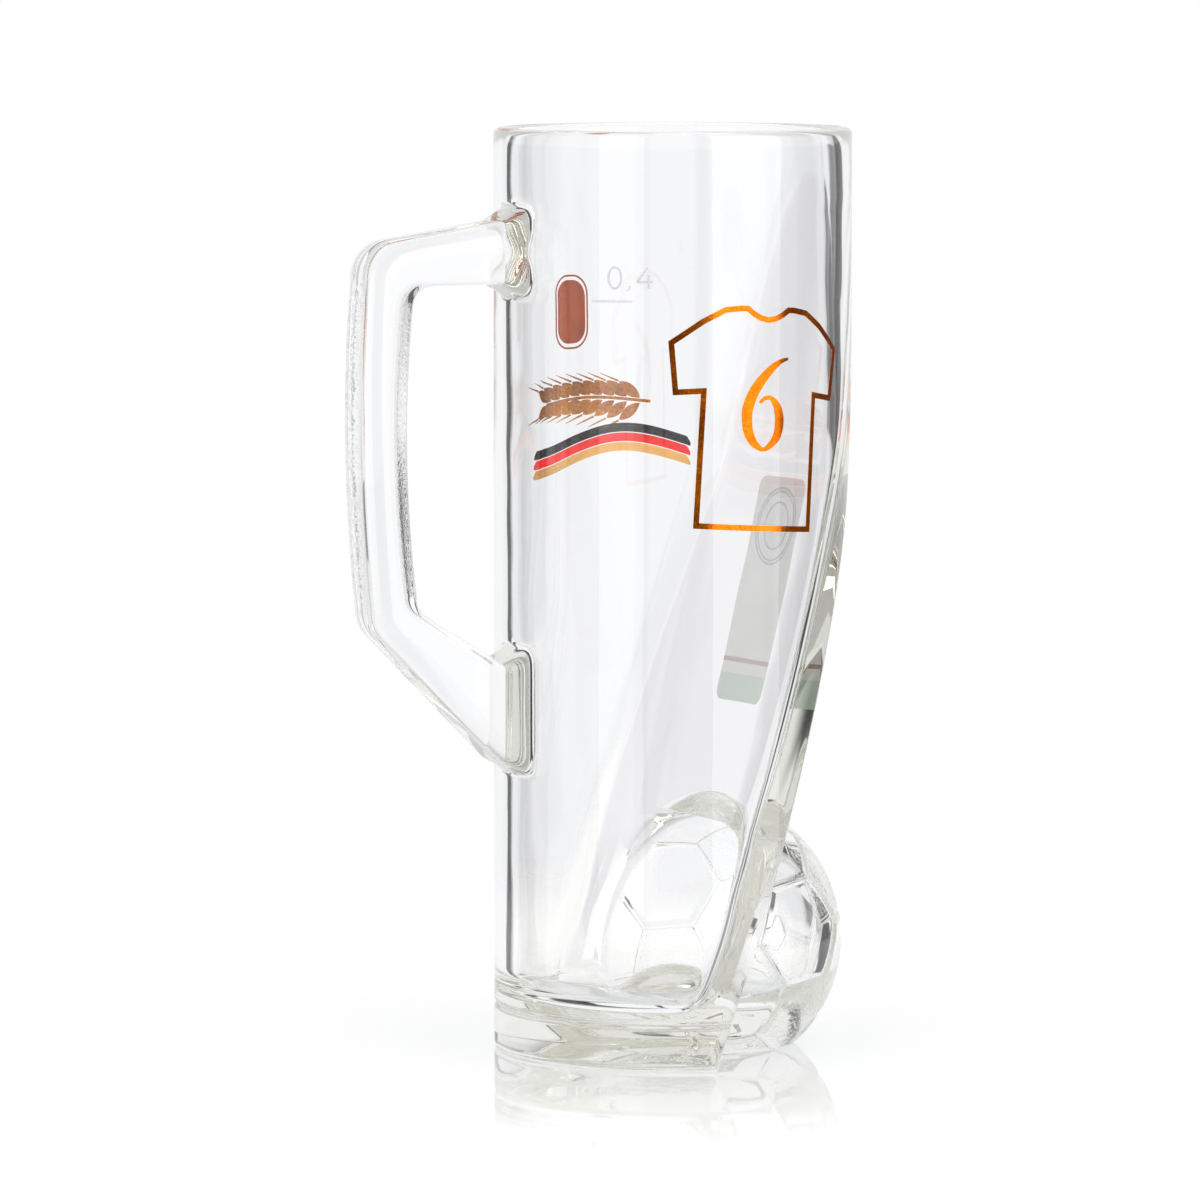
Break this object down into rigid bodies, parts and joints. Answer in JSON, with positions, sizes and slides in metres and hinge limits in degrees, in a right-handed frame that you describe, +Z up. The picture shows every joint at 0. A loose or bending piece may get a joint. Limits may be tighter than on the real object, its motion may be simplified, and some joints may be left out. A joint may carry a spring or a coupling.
{
  "type": "beer mug",
  "caption": "Tall clear glass beer mug with a bar handle, a slanted facet and a hollow moulded football at its foot, with fired copper and enamel prints.",
  "frame": {"origin": "on the mug's axis, on the plane that it stands on", "axes": "+Z up along the mug's axis, the handle along -X, the football and the facet along +X"},
  "size_m": [0.1138, 0.0772, 0.196],
  "materials": {
    "clear_glass": "polished",
    "copper_lustre": "fired metallic lustre",
    "brown_enamel": "fired gloss",
    "gold_enamel": "fired metallic gloss",
    "red_enamel": "fired gloss",
    "black_enamel": "fired gloss",
    "grey_label": "fired satin",
    "white_mark": "fired satin"
  },
  "bodies": {
    "root": {"glass_body": "clear_glass", "handle": "clear_glass", "shirt_outline": "copper_lustre", "shirt_number": "copper_lustre", "badge": "brown_enamel", "ribbon_gold": "gold_enamel", "ribbon_red": "red_enamel", "ribbon_black": "black_enamel", "label_panel": "grey_label", "fill_line": "white_mark"}
  },
  "joints": []
}
